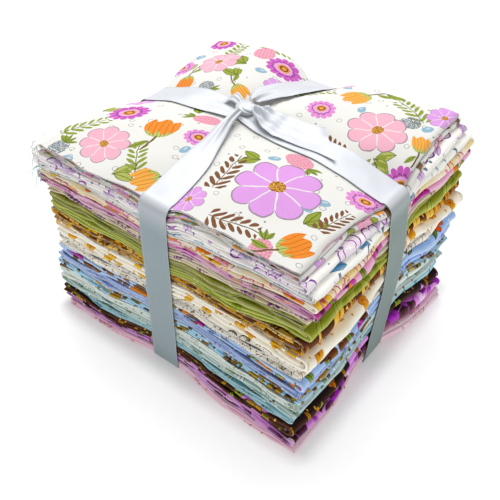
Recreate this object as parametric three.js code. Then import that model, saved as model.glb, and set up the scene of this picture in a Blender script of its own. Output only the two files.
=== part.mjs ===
// Fat quarter bundle: twenty folded cuts of quilting cotton in one stack, tied both ways with a
// satin ribbon that is knotted on top. Millimetres, +Z up. X runs along the folds' length (west to
// east), Y across them (south to north), and the four corner pads of the lowest cut lie on z = 0.
import * as THREE from 'three';

// Cloth: a cut is folded in quarters along Y, then in thirds along X
const cutLength = 457;
const cutWidth = 559;
const foldedLength = cutLength / 3;
const foldedWidth = cutWidth / 4;
const clearance = 0.35;
const cutClearance = 0.45;

// Ribbon
const ribbonWidth = 16.5;
const ribbonThickness = 1;
const ribbonX = -4.5;
const ribbonY = 3.5;
const ribbonBite = 1.5;

// Knot
const knot = { x: -14, y: 8, length: 7.2, width: 6.5, height: 3.6, base: 0.55, lobes: 3, lobe: 0.1 };

const satin = '#e3e4ec';

// One row for each cut, the top one first. thick is its share of the stack's height. west, east,
// south and north are how far its edges stand out past the stack's nominal outline, and turn is its
// twist in the stack, in degrees. A rolled cut wraps its last third inside, a pleated one does not.
const cuts = [
  ['cream_botanical', '#f3f0e6', 'pleated', 5.6, 1.5, -4, 0, -5, 0.5],
  ['white_lilac_flower', '#ece8ee', 'rolled', 4.8, 4, 0, 0.5, -3.5, 0.5],
  ['white_blue_leaf', '#e8ecec', 'rolled', 4.6, 4, 2, -0.5, -1.5, 1],
  ['white_yellow_pink', '#f2eadc', 'rolled', 4.6, 3, 3, 0.5, 0, 1],
  ['pink_magenta_flower', '#e9bfdc', 'rolled', 5.4, 3, 3.5, 1, 0, 1],
  ['beige_fern', '#c9bba6', 'pleated', 4.3, 0, 0.5, 0, 0, 0.5],
  ['olive_green', '#7d8f3e', 'pleated', 4.9, -1, -1.5, 0.5, 0, 0.5],
  ['light_green_leaf', '#a5bd62', 'rolled', 5, 0, 1, 0, 0, 1],
  ['brown_gold_leaf', '#b98a3a', 'rolled', 7, 0.5, 0, 0.5, 2, 0.5],
  ['white_yellow_flower', '#f3ecd6', 'rolled', 6.4, -0.5, 2.5, 0, 3, 0.5],
  ['cream_fine_line', '#e9e4d4', 'pleated', 6, 0, -1, 0.5, 1, 0.5],
  ['blue_orange_flower', '#a9c0e2', 'rolled', 5.6, 1, 1.5, -0.5, 2, 0],
  ['periwinkle', '#b3c3e8', 'rolled', 5.2, 2, 0, 0.5, 1, 0],
  ['blue_brown_flower', '#9bb7c9', 'pleated', 4.8, 4, 1, 0, -2, 0],
  ['pale_sage', '#cfd9cc', 'rolled', 4.8, 4.5, -1, 0.5, -4, -0.5],
  ['grey_sage', '#a9bfb8', 'pleated', 4.8, 5, 0.5, 0, -6, -0.5],
  ['teal_blue', '#8db6bd', 'rolled', 5, 4, -1, 0.5, -7, -1],
  ['dark_brown_gold', '#4d3123', 'rolled', 7.2, 3, 1, 1.5, -7, -1],
  ['lilac_purple_leaf', '#d597dd', 'rolled', 6.2, 4, 2.5, 1.5, -6, -1.5],
  ['pale_pink', '#f0cfdc', 'pleated', 5.3, 0, 3, 2, -6, -1.5],
].map(([name, colour, fold, thick, west, east, south, north, turn]) => (
  { name, colour, fold, thick, west, east, south, north, turn }
));
const stackHeight = cuts.reduce((sum, cut) => sum + cut.thick, 0);

// The order in which a cut's path passes through its three layers, 0 the lowest
const layerOrders = { rolled: [0, 2, 1], pleated: [0, 1, 2] };

// Lines along which the whole stack bends: its edges, the middle of each quadrant, a ribbon's sides
const halfLength = foldedLength / 2;
const halfWidth = foldedWidth / 2;
const bendX = [-halfLength, -46, -13.5, 4.5, 42, halfLength];
const bendY = [-halfWidth, -42, -6, 13, 40, halfWidth];

// Rise of the top over stackHeight where the bend lines cross: the ribbons draw its edges down and
// the quadrants puff up. A row lies along X and goes from the west edge to the east edge.
const topRelief = [
  { line: 'south edge', rise: [-2.5, -1, -8, -8, -2.5, -3] },
  { line: 'south quadrants', rise: [-2, 0.5, -3, -3, 0.5, -3] },
  { line: 'south of the ribbon', rise: [-8, -1, -1, -1, -3, -10.5] },
  { line: 'north of the ribbon', rise: [-7, 0, -1, -1, -3, -9] },
  { line: 'north quadrants', rise: [0, 5.5, -1, -1, 3.5, 1] },
  { line: 'north edge', rise: [1.5, 5, -7.5, -7.5, 2.5, 4.5] },
].map((row) => row.rise);

// Rise of the underside: the corner pads are flat, and the ribbons pass in shallow arches between
const footRelief = [
  { line: 'south edge', rise: [0, 0, 3, 3, 0, 0] },
  { line: 'south quadrants', rise: [0, 0, 1.7, 1.7, 0, 0] },
  { line: 'south of the ribbon', rise: [3, 1.7, 3.2, 3.2, 1.7, 4.5] },
  { line: 'north of the ribbon', rise: [3, 1.7, 3.2, 3.2, 1.7, 4.5] },
  { line: 'north quadrants', rise: [0, 0, 1.7, 1.7, 0, 0] },
  { line: 'north edge', rise: [0, 0, 3, 3, 0, 0] },
].map((row) => row.rise);

// Where x lies among the bend lines: the cell's index and the share of the way across it
function cellOf(lines, value) {
  let cell = 0;
  while (cell < lines.length - 2 && value > lines[cell + 1]) cell += 1;
  return { cell, share: (value - lines[cell]) / (lines[cell + 1] - lines[cell]) };
}

function reliefAt(relief, x, y) {
  const across = cellOf(bendX, x);
  const along = cellOf(bendY, y);
  const { lerp } = THREE.MathUtils;
  const row = (k) => lerp(relief[k][across.cell], relief[k][across.cell + 1], across.share);
  return lerp(row(along.cell), row(along.cell + 1), along.share);
}

// Height of a level of the stack over the point x, y: level 0 is the underside and 1 the top
function heightAt(x, y, level) {
  const foot = reliefAt(footRelief, x, y);
  const top = stackHeight + reliefAt(topRelief, x, y);
  return THREE.MathUtils.lerp(foot, top, level);
}

// 0 between a ribbon's sides, where it draws every cut in to the same line, and 1 from the quadrants on
function freedom(lines, value) {
  const nearest = THREE.MathUtils.clamp(value, lines[2], lines[3]);
  const reach = value < nearest ? lines[2] - lines[1] : lines[4] - lines[3];
  return Math.min(1, Math.abs(value - nearest) / reach);
}

function edgeX(cut, y, side) {
  const turned = -y * Math.tan(THREE.MathUtils.degToRad(cut.turn));
  const stands = side > 0 ? cut.east + turned : cut.west - turned;
  return side * (halfLength + THREE.MathUtils.lerp(-ribbonBite, stands, freedom(bendY, y)));
}

function edgeY(cut, x, side) {
  const turned = x * Math.tan(THREE.MathUtils.degToRad(cut.turn));
  const stands = side > 0 ? cut.north + turned : cut.south - turned;
  return side * (halfWidth + THREE.MathUtils.lerp(-ribbonBite, stands, freedom(bendX, x)));
}

// Stations along a cut's folded path in the X-Z plane. Each has its place along X as a function of
// y, its level over the cut's underside, and the direction of the path's left-hand side.
function foldPath(cut) {
  const thickness = (cut.thick - cutClearance - 2 * clearance) / 3;
  const levels = [0, 1, 2].map((k) => (cutClearance + thickness) / 2 + k * (thickness + clearance));
  const order = layerOrders[cut.fold];
  const stations = [];
  order.forEach((layer, k) => {
    const heading = k % 2 === 0 ? 1 : -1;
    const radiusBefore = k > 0 ? Math.abs(levels[layer] - levels[order[k - 1]]) / 2 : clearance;
    const tucked = thickness + 2 * clearance;
    const radiusAfter = k < 2 ? Math.abs(levels[order[k + 1]] - levels[layer]) / 2 : tucked;
    const straight = (x) => stations.push({ x, level: levels[layer], normal: [0, heading] });
    straight((y) => edgeX(cut, y, -heading) + heading * (radiusBefore + thickness / 2));
    const inner = heading > 0 ? bendX.slice(1, -1) : bendX.slice(1, -1).reverse();
    inner.forEach((line) => straight(() => line));
    straight((y) => edgeX(cut, y, heading) - heading * (radiusAfter + thickness / 2));
    if (k < 2) {
      const rise = Math.sign(levels[order[k + 1]] - levels[layer]);
      [-30, 30].forEach((degrees) => {
        const angle = THREE.MathUtils.degToRad(degrees);
        stations.push({
          x: (y) => (
            edgeX(cut, y, heading) - heading * (radiusAfter * (1 - Math.cos(angle)) + thickness / 2)
          ),
          level: (levels[layer] + levels[order[k + 1]]) / 2 + rise * radiusAfter * Math.sin(angle),
          normal: [-rise * Math.cos(angle), -heading * Math.sin(angle)],
        });
      });
    }
  });
  return { stations, thickness };
}

// Makes every four-cornered face of a box bend along the diagonal that runs south-west to north-east,
// so that the faces of neighbouring layers stay parallel
function alignDiagonals(geometry) {
  const index = geometry.index;
  const points = geometry.attributes.position;
  for (let k = 0; k < index.count; k += 6) {
    const [a, b, d, c] = [index.getX(k), index.getX(k + 1), index.getX(k + 2), index.getX(k + 4)];
    const runs = (points.getX(b) - points.getX(d)) * (points.getY(b) - points.getY(d));
    if (runs < 0) [a, b, c, a, c, d].forEach((corner, j) => index.setX(k + j, corner));
  }
}

// Bends a unit box with the given steps: place gets each vertex's step numbers along, up and across
function bentBox(steps, place) {
  const geometry = new THREE.BoxGeometry(1, 1, 1, steps.along, 1, steps.across);
  const points = geometry.attributes.position;
  for (let k = 0; k < points.count; k += 1) {
    const along = Math.round((points.getX(k) + 0.5) * steps.along);
    const up = points.getY(k);
    const across = Math.round((0.5 - points.getZ(k)) * steps.across);
    points.setXYZ(k, ...place(along, up, across));
  }
  alignDiagonals(geometry);
  geometry.computeVertexNormals();
  return geometry;
}

// A folded cut whose underside lies at the given height in the flat stack
function foldedCut(cut, base) {
  const { stations, thickness } = foldPath(cut);
  const steps = { along: stations.length - 1, across: bendY.length - 1 };
  return bentBox(steps, (along, up, across) => {
    const station = stations[along];
    const line = bendY[across];
    const x = station.x(line) + station.normal[0] * up * thickness;
    const side = across === 0 ? -1 : 1;
    const y = across === 0 || across === steps.across ? edgeY(cut, x, side) : line;
    const level = base + station.level + station.normal[1] * up * thickness;
    return [x, y, heightAt(x, y, level / stackHeight)];
  });
}

// A ribbon's strip. A station lies on the stack's skin at x, y and level, lift above it. out and up
// point away from the stack, skew carries one edge ahead of the other, and the strip runs along Y
// when lengthwise is true and along X when it is false.
function strip(stations, lengthwise) {
  return bentBox({ along: stations.length - 1, across: 1 }, (along, up, across) => {
    const s = { width: ribbonWidth, lift: 0, skew: 0, out: 0, up: 1, level: 1, ...stations[along] };
    const side = (lengthwise ? 1 - across : across) - 0.5;
    const x = lengthwise ? s.x + side * s.width : s.x + side * s.skew;
    const y = lengthwise ? s.y + side * s.skew : s.y + side * s.width;
    const off = clearance + (up + 0.5) * ribbonThickness;
    const z = heightAt(x, y, s.level) + s.lift + s.up * off;
    return lengthwise ? [x, y + s.out * off, z] : [x + s.out * off, y, z];
  });
}

// Ribbon that runs along Y, from the knot over the south side, underneath, and back to the knot
const alongY = [
  { y: knot.y + knot.width + 0.4, x: -14, width: 7, lift: 3 },
  { y: 26, x: -12, width: 11, lift: 1.2 },
  { y: bendY[4], x: -8, width: 15.5, lift: 0.2 },
  { y: halfWidth - ribbonBite, x: -7, out: 1 },
  { y: halfWidth - ribbonBite, x: -6, out: 1, up: 0, level: 0.5 },
  { y: halfWidth - ribbonBite, x: -5.5, out: 1, up: -1, level: 0 },
  { y: bendY[4], x: -5.5, up: -1, level: 0 },
  { y: bendY[3], x: -5.5, up: -1, level: 0, lift: -1.5 },
  { y: bendY[2], x: -5.5, up: -1, level: 0, lift: -1.5 },
  { y: bendY[1], x: -5.5, up: -1, level: 0 },
  { y: ribbonBite - halfWidth, x: -5.5, out: -1, up: -1, level: 0 },
  { y: ribbonBite - halfWidth, x: -5.5, out: -1, up: 0, level: 0.3 },
  { y: ribbonBite - halfWidth, x: -5, out: -1, up: 0, level: 0.7 },
  { y: ribbonBite - halfWidth, x: ribbonX, out: -1 },
  { y: bendY[1], x: -6, lift: 0.2 },
  { y: -25, x: -9, width: 14, lift: 0.3 },
  { y: -8, x: -13, width: 9.5, lift: 1.5 },
  { y: knot.y - knot.width - 0.4, x: -14, width: 7, lift: 3 },
];

// Ribbon that runs along X: its two ends meet under the knot
const alongX = [
  { x: knot.x + clearance / 2, y: ribbonY },
  { x: bendX[3], y: ribbonY },
  { x: bendX[4], y: ribbonY },
  { x: halfLength - ribbonBite, y: ribbonY, out: 1 },
  { x: halfLength - ribbonBite, y: 7, out: 1, up: 0, level: 0.75 },
  { x: halfLength - ribbonBite, y: 8, out: 1, up: 0, level: 0.5 },
  { x: halfLength - ribbonBite, y: 3.5, out: 1, up: 0, level: 0.2 },
  { x: halfLength - ribbonBite, y: 1, out: 1, up: -1, level: 0 },
  { x: bendX[4], y: 2, up: -1, level: 0 },
  { x: bendX[3], y: ribbonY, up: -1, level: 0 },
  { x: bendX[2], y: ribbonY, up: -1, level: 0 },
  { x: bendX[1], y: ribbonY, up: -1, level: 0 },
  { x: ribbonBite - halfLength, y: ribbonY, out: -1, up: -1, level: 0 },
  { x: ribbonBite - halfLength, y: ribbonY, out: -1, up: 0, level: 0.5 },
  { x: ribbonBite - halfLength, y: ribbonY, out: -1 },
  { x: bendX[1], y: ribbonY },
  { x: knot.x - clearance / 2, y: ribbonY },
];

// Long tail: it leaves the knot gathered, puffs up, then lies flat and ends in a slanted cut
const longTail = [
  { x: knot.x + knot.length + 0.4, y: 8, width: 8, lift: 3.4 },
  { x: -1, y: 8, width: 13.5, lift: 4.2 },
  { x: 7, y: 8, lift: 2.4 },
  { x: 17, y: 8, lift: 1.5, skew: -6 },
  { x: 35, y: 8, lift: 1.5, skew: -17 },
];

// Short end: a small curl on the knot's other side, from its tip back to the knot
const shortEnd = [
  { x: knot.x - knot.length - 4.4, y: 11, width: 7, lift: 1.9, out: -1, up: 0 },
  { x: knot.x - knot.length - 3, y: 10.5, width: 7, lift: 3.6, out: -0.4 },
  { x: knot.x - knot.length - 0.4, y: 10, width: 6, lift: 3.2 },
];

// The knot is a flattened ball with soft lobes, cut flat where it sits on the ribbons
function knotGeometry() {
  const geometry = new THREE.SphereGeometry(1, 14, 8);
  geometry.rotateX(Math.PI / 2);
  const points = geometry.attributes.position;
  const seat = heightAt(knot.x, knot.y, 1) + 2 * clearance + ribbonThickness;
  for (let k = 0; k < points.count; k += 1) {
    const [x, y, z] = [points.getX(k), points.getY(k), points.getZ(k)];
    const swell = 1 - knot.lobe * (1 + Math.cos(knot.lobes * Math.atan2(y, x))) / 2;
    const level = Math.max(z, -knot.base) + knot.base;
    points.setXYZ(
      k,
      knot.x + x * knot.length * swell,
      knot.y + y * knot.width * swell,
      seat + level * knot.height,
    );
  }
  geometry.computeVertexNormals();
  return geometry;
}

const bundle = new THREE.Group();

function add(name, geometry, colour, roughness) {
  const material = new THREE.MeshStandardMaterial({ color: colour, roughness, metalness: 0 });
  const mesh = new THREE.Mesh(geometry, material);
  mesh.name = name;
  bundle.add(mesh);
}

let top = stackHeight;
cuts.forEach((cut, k) => {
  top -= cut.thick;
  const number = String(k + 1).padStart(2, '0');
  add(`quarter_${number}_${cut.name}`, foldedCut(cut, top), cut.colour, 0.85);
});
add('ribbon_front_to_back', strip(alongY, true), satin, 0.35);
add('ribbon_side_to_side', strip(alongX, false), satin, 0.35);
add('ribbon_knot', knotGeometry(), satin, 0.35);
add('ribbon_long_tail', strip(longTail, false), satin, 0.35);
add('ribbon_short_end', strip(shortEnd, false), satin, 0.35);

// The origin is under the middle of the whole bundle
const box = new THREE.Box3().setFromObject(bundle);
const middle = box.getCenter(new THREE.Vector3());
bundle.position.set(-middle.x, -middle.y, -box.min.z);

export default bundle;
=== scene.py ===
import math
import random

import bpy
import numpy as np
from mathutils import Euler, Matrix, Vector


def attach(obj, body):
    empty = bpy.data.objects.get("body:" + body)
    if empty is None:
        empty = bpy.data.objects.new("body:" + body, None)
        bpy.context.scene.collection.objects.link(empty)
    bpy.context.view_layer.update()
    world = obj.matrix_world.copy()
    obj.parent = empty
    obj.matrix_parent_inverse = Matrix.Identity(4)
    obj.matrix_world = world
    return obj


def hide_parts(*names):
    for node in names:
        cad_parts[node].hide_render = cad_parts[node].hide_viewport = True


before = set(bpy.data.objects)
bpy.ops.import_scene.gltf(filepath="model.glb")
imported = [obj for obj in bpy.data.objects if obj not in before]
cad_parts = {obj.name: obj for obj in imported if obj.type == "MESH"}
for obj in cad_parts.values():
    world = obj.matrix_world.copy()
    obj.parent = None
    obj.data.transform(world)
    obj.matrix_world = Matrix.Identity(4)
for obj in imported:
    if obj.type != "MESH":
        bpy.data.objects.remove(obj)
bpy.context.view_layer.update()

mm = 0.001

# Camera, placed in millimetres
view = {"eye": (180.7, -236.3, 283.1), "target": (3.3, -10.2, 40.9), "lens": 52.2}

cameraData = bpy.data.cameras.new("camera")
cameraData.lens = view["lens"]
cameraData.sensor_width = 36
cameraData.clip_start = 0.01
camera = bpy.data.objects.new("camera", cameraData)
camera.location = Vector(view["eye"]) * mm
camera.rotation_mode = "QUATERNION"
camera.rotation_quaternion = (Vector(view["target"]) - Vector(view["eye"])).to_track_quat("-Z", "Y")
bpy.context.scene.collection.objects.link(camera)
bpy.context.scene.camera = camera
print("scene: camera placed")


# Smooth curve through values at knots, read at q. values has one row per knot
def curve(knots, values, q):
    knots = np.asarray(knots, float)
    values = np.asarray(values, float)
    q = np.asarray(q, float)
    if values.ndim == 1:
        values = np.broadcast_to(values[:, None], (len(knots), q.size))
    slopes = np.gradient(values, knots, axis=0)
    k = np.clip(np.searchsorted(knots, q) - 1, 0, len(knots) - 2)
    n = np.arange(q.size)
    step = knots[k + 1] - knots[k]
    t = (q - knots[k]) / step
    a, b = values[k, n], values[k + 1, n]
    c, d = slopes[k, n] * step, slopes[k + 1, n] * step
    return a + t * (c + t * (3 * (b - a) - 2 * c - d + t * (2 * (a - b) + c + d)))


def ease(t):
    t = np.clip(t, 0, 1)
    return t * t * (3 - 2 * t)


# Unevenness: a sum of a few waves with seeded phases
class Wobble:
    def __init__(self, seed, waves):
        dice = random.Random(seed)
        self.waves = []
        for length, size in waves:
            turn = dice.uniform(0, 2 * math.pi)
            lean = dice.uniform(0.75, 1.25)
            self.waves.append((2 * math.pi / length, size, turn, lean, dice.uniform(0, 2 * math.pi)))

    def along(self, s):
        return sum(size * np.sin(k * lean * s + phase) for k, size, _, lean, phase in self.waves)

    def over(self, x, y, level, fine):
        total = 0
        for k, size, turn, lean, phase in self.waves:
            flat = k * (x * math.cos(turn) + y * math.sin(turn))
            total = total + size * np.sin(flat + fine * lean * level + phase)
        return total


# The cloth and the stack, in millimetres
cutCloth = {
    "length": 457,
    "width": 559,
    "plies": (0, 3, 2, 1),  # seats of the four thicknesses of a quartered third
    "edge": 0.24,  # thickness of the cotton, seen only at its raw edges
    "fineSteps": (44, 8, 40, 6),  # along, round a fold, across and round a fold, on the top cut
    "steps": (26, 6, 24, 4),
    "seeds": (100, 200),  # for its slack edges and its ragged ones
}
stack = {
    "length": cutCloth["length"] / 3,
    "width": cutCloth["width"] / 4,
    "gap": 0.35,  # between the three thirds of a cut
    "cutGap": 0.45,
    "bite": 1.5,  # how far a ribbon draws the edges in
    "ribbonHalf": 8.6,
    "letGo": {"west": 27, "east": 27, "south": 30, "north": 30},  # beside a ribbon, up to free edges
    "round": 5.0,  # the top edge under a ribbon
    "sharper": 0.6,  # share of that rounding lost away from it
    "lowest": 0.03,
    "shift": (0.48, 0.17, -0.22),
}
halfLength = stack["length"] / 2
halfWidth = stack["width"] / 2

# Node, fold, thickness, how far the edges stand out to the west, east, south and north, twist in
# degrees, and the side to which the closed folds of the quartered cloth face
cuts = [
    ("quarter_01_cream_botanical", "pleated", 5.6, (1.5, -4, 0, -5), 0.5, 1),
    ("quarter_02_white_lilac_flower", "rolled", 4.8, (4, 0, 0.5, -3.5), 0.5, -1),
    ("quarter_03_white_blue_leaf", "rolled", 4.6, (4, 2, -0.5, -1.5), 1, 1),
    ("quarter_04_white_yellow_pink", "rolled", 4.6, (3, 3, 0.5, 0), 1, -1),
    ("quarter_05_pink_magenta_flower", "rolled", 5.4, (3, 3.5, 1, 0), 1, 1),
    ("quarter_06_beige_fern", "pleated", 4.3, (0, 0.5, 0, 0), 0.5, -1),
    ("quarter_07_olive_green", "pleated", 4.9, (-1, -1.5, 0.5, 0), 0.5, 1),
    ("quarter_08_light_green_leaf", "rolled", 5, (0, 1, 0, 0), 1, -1),
    ("quarter_09_brown_gold_leaf", "rolled", 7, (0.5, 0, 0.5, 2), 0.5, 1),
    ("quarter_10_white_yellow_flower", "rolled", 6.4, (-0.5, 2.5, 0, 3), 0.5, -1),
    ("quarter_11_cream_fine_line", "pleated", 6, (0, -1, 0.5, 1), 0.5, 1),
    ("quarter_12_blue_orange_flower", "rolled", 5.6, (1, 1.5, -0.5, 2), 0, -1),
    ("quarter_13_periwinkle", "rolled", 5.2, (2, 0, 0.5, 1), 0, 1),
    ("quarter_14_blue_brown_flower", "pleated", 4.8, (4, 1, 0, -2), 0, -1),
    ("quarter_15_pale_sage", "rolled", 4.8, (4.5, -1, 0.5, -4), -0.5, 1),
    ("quarter_16_grey_sage", "pleated", 4.8, (5, 0.5, 0, -6), -0.5, -1),
    ("quarter_17_teal_blue", "rolled", 5, (4, -1, 0.5, -7), -1, 1),
    ("quarter_18_dark_brown_gold", "rolled", 7.2, (3, 1, 1.5, -7), -1, -1),
    ("quarter_19_lilac_purple_leaf", "rolled", 6.2, (4, 2.5, 1.5, -6), -1.5, 1),
    ("quarter_20_pale_pink", "pleated", 5.3, (0, 3, 2, -6), -1.5, -1),
]
layerOrders = {"rolled": (0, 2, 1), "pleated": (0, 1, 2)}
stackHeight = sum(cut[2] for cut in cuts)

# Rise of the top without its ribbons, from the west edge to the east and from the south to the north
puff = {
    "x": (-76, -42, -5, 40, 76),
    "y": (-70, -42, 3, 40, 70),
    "rise": [
        (-2.5, -1.0, -1.0, -2.0, -3.0),
        (-1.5, 1.5, 1.5, 1.2, -2.0),
        (0.0, 2.8, 2.8, 2.0, 0.5),
        (0.0, 6.2, 4.5, 4.0, 2.0),
        (1.5, 5.2, 4.0, 2.8, 4.5),
    ],
}
# Groove that each ribbon presses in, at places along it: where its middle is, its depth, and how
# far the groove's two flanks reach
grooveAlongY = {
    "at": (-70, -42, -8, 14, 42, 70),
    "middle": (-4.5, -6, -12.5, -14, -9, -7),
    "half": (8, 7.5, 4, 4, 7, 8),
    "depth": (6.8, 3.6, 3.2, 3.8, 5.0, 11.5),
    "before": (30, 16, 10, 9, 9, 8.5),
    "after": (8, 9, 9, 9, 9, 10),
}
grooveAlongX = {
    "at": (-76, -46, -14, 4, 42, 76),
    "middle": (3.0, 3.5, 4, 3.5, 3.5, 3.5),
    "half": (7.5, 7.5, 7, 7.5, 7.5, 8),
    "depth": (8.2, 3.4, 3.2, 3.2, 4.6, 11.0),
    "before": (18, 12, 9, 9, 12, 20),
    "after": (17, 10, 9, 9, 9, 8),
}
# Rise of the underside: the corners lie flat, and the ribbons pass in shallow arches
arch = {
    "x": (-76, -46, -13.5, 4.5, 42, 76),
    "y": (-70, -42, -6, 13, 40, 70),
    "rise": [
        (0, 0, 1.5, 1.5, 0, 0),
        (0, 0, 1.5, 1.5, 0, 0),
        (3, 1.7, 3.2, 3.2, 1.7, 4.5),
        (3, 1.7, 3.2, 3.2, 1.7, 4.5),
        (0, 0, 1.7, 1.7, 0, 0),
        (0, 0, 3, 3, 0, 0),
    ],
}


def tableAt(table, x, y):
    rows = np.array([curve(table["x"], row, x) for row in table["rise"]])
    return curve(table["y"], rows, y)


def groove(table, along, across):
    read = {key: curve(table["at"], table[key], along) for key in table if key != "at"}
    off = across - read["middle"]
    beyond = np.sqrt(np.maximum(np.abs(off) - read["half"], 0) ** 2 + 1) - 1
    reach = np.where(off < 0, read["before"], read["after"])
    return read["depth"] * np.exp(-beyond / reach)


# Height of a level of the pressed stack. The cube root keeps the grooves' crossing no deeper than either
def heightAt(x, y, level):
    shape = np.shape(x)
    x, y = np.ravel(x), np.ravel(y)
    press = (groove(grooveAlongY, y, x) ** 3 + groove(grooveAlongX, x, y) ** 3) ** (1 / 3)
    top = stackHeight + tableAt(puff, x, y) - press
    foot = tableAt(arch, x, y)
    share = np.broadcast_to(level, shape).ravel() / stackHeight
    return (foot + (top - foot) * share).reshape(shape)


# The layers' slant on the two near faces: shifts of six levels at places along each face
slant = {
    "reach": 48,  # depth behind a face at which its slant has gone
    "fade": 44,
    "calm": 9,  # depth under the top and over the foot that stays level
    "lag": 0.34,  # how the unevenness changes from layer to layer
    "levels": (0, 11.5, 18.7, 54.9, 68.3, 107.1),
    "southAt": (-76, -30, -12, 5, 30, 60),
    "south": [
        (0, 0, 0, 0, 0, 0),
        (-2, -3, -1, -1, 0, 0),
        (-5, -5, -3, -1.5, 0, 0),
        (0, 0, 0, 0, 0, 0),
        (3, 3, 2, 1, 0.5, 0),
        (0, 0, 0, 0, 0, 0),
    ],
    "eastAt": (-70, -40, -12, 5, 22, 40, 70),
    "east": [
        (0, 0, 0, 0, 0, 0, 0),
        (-3, -3, 1, 3, 7, 3, 1),
        (-2, -2, 1, 3, 6, 3, 1),
        (-1, -3, -3, -2, 4, 1, 0),
        (4, 1.5, 0, 0, 5, 2, 1),
        (0, 0, 0, 0, 0, 0, 0),
    ],
}
breath = Wobble(4, [(88, 0.5), (61, 0.45), (43, 0.3), (27, 0.16)])
pucker = Wobble(9, [(47, 0.3), (29, 0.2), (17, 0.12), (11, 0.06)])


def placeLevel(x, y, level):
    shape = x.shape
    flatX, flatY, flatLevel = x.ravel(), y.ravel(), level.ravel()
    south = np.array([curve(slant["southAt"], row, flatX) for row in slant["south"]])
    east = np.array([curve(slant["eastAt"], row, flatY) for row in slant["east"]])
    nearSouth = ease((-flatY - halfWidth + slant["reach"]) / slant["fade"])
    nearEast = ease((flatX - halfLength + slant["reach"]) / slant["fade"])
    shift = curve(slant["levels"], south, flatLevel) * nearSouth
    shift = shift + curve(slant["levels"], east, flatLevel) * nearEast
    inside = ease(flatLevel / slant["calm"]) * ease((stackHeight + 2 - flatLevel) / slant["calm"])
    shift = shift * inside + breath.over(flatX, flatY, flatLevel, slant["lag"]) * inside
    top = (flatLevel / stackHeight) ** 8 * pucker.over(flatX, flatY, flatLevel, 0.0)  # near the top alone
    return (flatLevel + shift + top).reshape(shape)


# Where each ribbon's middle lies on the four sides, from the foot to the top
ribbonOnSide = {
    "south": ((0, 0.35, 0.8, 1), (-5.8, -5.6, -5.0, -4.2)),
    "north": ((0, 0.5, 1), (-5.5, -6, -7)),
    "west": ((0, 0.5, 1), (3.5, 3.5, 3.5)),
    "east": ((0, 0.17, 0.26, 0.4, 0.5, 0.62, 0.8, 1), (-2, 1.4, 3.9, 7.2, 8.5, 8.2, 5, 3.5)),
}


# 0 under the ribbon on that side, 1 well away from it
def freedom(side, along, level):
    shares, middles = ribbonOnSide[side]
    middle = np.interp(level / stackHeight, shares, middles)
    return ease((np.abs(along - middle) - stack["ribbonHalf"]) / stack["letGo"][side])


def roundOver(level, free):
    radius = stack["round"] * (1 - stack["sharper"] * free)
    over = np.clip(level - (stackHeight - radius), 0, radius * 0.995)  # just short of upright
    return radius - np.sqrt(radius**2 - over**2)


# Where a cut's edge lies on one side: it stands out by its own amount and is drawn in at the ribbon
def edgeAt(sign, side, along, level, out, reach):
    free = freedom(side, along, level)
    return sign * (reach + free * out - (1 - free) * stack["bite"] - roundOver(level, free))


# Levels of a cut's three thirds over its underside, and a third's own thickness
def thirds(thick):
    thickness = (thick - stack["cutGap"] - 2 * stack["gap"]) / 3
    return [(stack["cutGap"] + thickness) / 2 + k * (thickness + stack["gap"]) for k in range(3)], thickness


# Stations along a cut's path from its raw west end: weight of the west and east edge, offset, level,
# the two parts of the way to the path's left-hand side, and 1 where the raw edge turns in
def lengthPath(fold, thick, steps, arcSteps):
    levels, thickness = thirds(thick)
    order = layerOrders[fold]
    rows = []
    for k, layer in enumerate(order):
        heading = 1 if k % 2 == 0 else -1
        before = abs(levels[layer] - levels[order[k - 1]]) / 2 if k else stack["gap"]
        tucked = thickness + 2 * stack["gap"] if fold == "rolled" else stack["gap"]
        after = abs(levels[order[k + 1]] - levels[layer]) / 2 if k < 2 else tucked
        spots = np.linspace(0, 1, steps + 1)
        if k == 0:
            rows.append((1, 0, before + thickness / 2, levels[layer], 0, 1, 1.0))
        for t in spots:
            west, east = (1 - t, t) if heading > 0 else (t, 1 - t)
            offset = heading * ((1 - t) * before - t * after + (0.5 - t) * thickness)
            rows.append((west, east, offset, levels[layer], 0, heading, 0.0))
        if k < 2:
            rise = 1 if levels[order[k + 1]] > levels[layer] else -1
            middle = (levels[layer] + levels[order[k + 1]]) / 2
            for j in range(1, arcSteps):
                angle = math.pi * (j / arcSteps - 0.5)
                offset = -heading * (after * (1 - math.cos(angle)) + thickness / 2)
                side = (-rise * math.cos(angle), -heading * math.sin(angle))
                ends = (0, 1) if heading > 0 else (1, 0)
                rows.append((*ends, offset, middle + rise * after * math.sin(angle), *side, 0.0))
        else:
            west, east = (0, 1) if heading > 0 else (1, 0)
            rows.append((west, east, -heading * (after + thickness / 2), levels[layer], 0, heading, 1.0))
    return np.array(rows), thickness


# Stations across a cut: share of the way from the south edge to the north one, offset, place in the
# thickness of a third, and 1 at a raw edge. The cloth is halved twice, so two folds lie on the closed side
def widthPath(closed, thickness, steps, arcSteps):
    plies = len(cutCloth["plies"])
    pitch = thickness / plies
    outer = (plies - 1) / 2 * pitch
    depth = [(seat - (plies - 1) / 2) * pitch for seat in cutCloth["plies"]]
    rows = []
    for k in range(plies):
        heading = closed if k % 2 == 0 else -closed
        for t in np.linspace(0, 1, steps + 1):
            share = t if heading > 0 else 1 - t
            rows.append((share, outer * (1 - 2 * share), depth[k], 0.0))
        if k < plies - 1:
            middle = (depth[k] + depth[k + 1]) / 2
            radius = (depth[k + 1] - depth[k]) / 2
            for j in range(1, arcSteps):
                angle = math.pi * (j / arcSteps - 0.5)
                offset = heading * (abs(radius) * math.cos(angle) - outer)
                rows.append((int(heading > 0), offset, middle + radius * math.sin(angle), 0.0))
    rows.insert(0, (*rows[0][:3], 1.0))
    rows.append((*rows[-1][:3], 1.0))
    return np.array(rows)


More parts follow.
